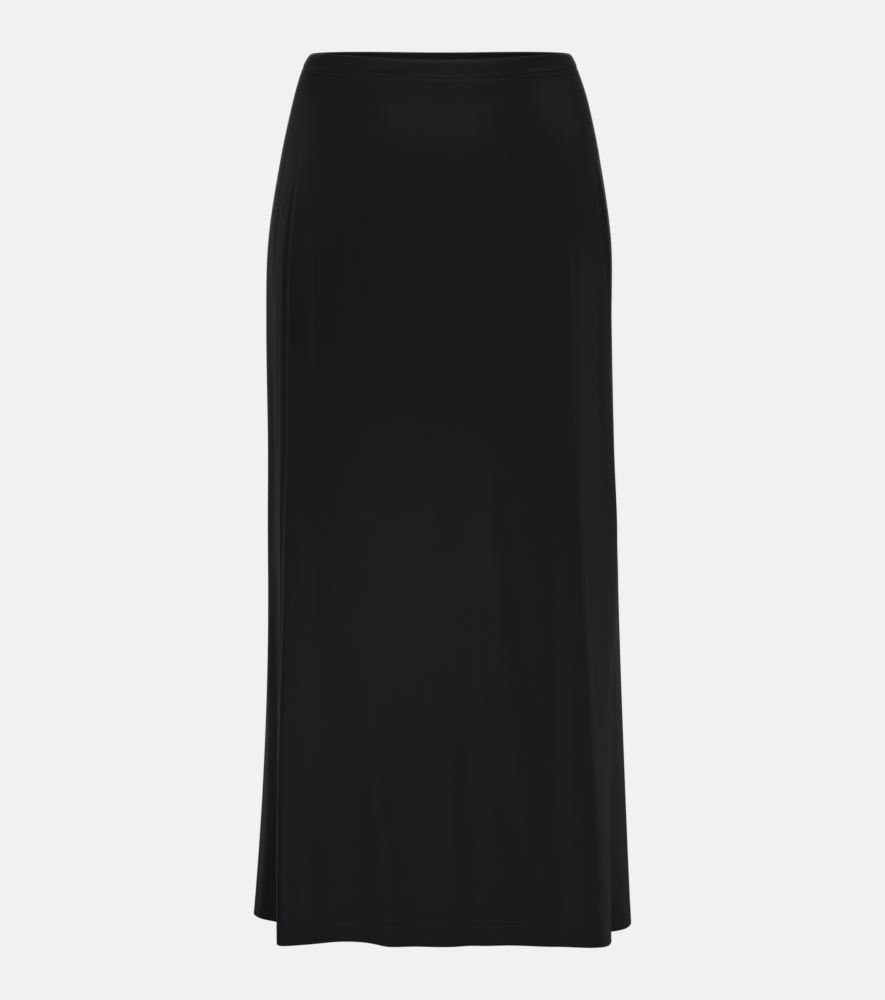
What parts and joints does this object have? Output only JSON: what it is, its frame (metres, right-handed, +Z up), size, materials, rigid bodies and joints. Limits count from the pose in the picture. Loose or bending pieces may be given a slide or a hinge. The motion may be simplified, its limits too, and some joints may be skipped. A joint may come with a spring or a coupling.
{
  "type": "midi skirt",
  "caption": "Long slim pull-on skirt in black jersey with an elastic waist casing, in the hollow form it keeps when worn.",
  "frame": {"origin": "the middle of the waist opening, level with the waist edge at centre front, where the wearer's waist holds the skirt up", "axes": "+Z up out of the waist opening, -Y the wearer's front, +X the wearer's left"},
  "size_m": [0.3792, 0.2381, 0.8684],
  "materials": {
    "black_jersey": "smooth fine-gauge black jersey with a soft sheen",
    "waist_casing": "the same jersey turned over an elastic and held by two rows of black stitching"
  },
  "bodies": {
    "root": {"front_panel": "black_jersey", "back_panel": "black_jersey", "waistband": "waist_casing"}
  },
  "joints": []
}
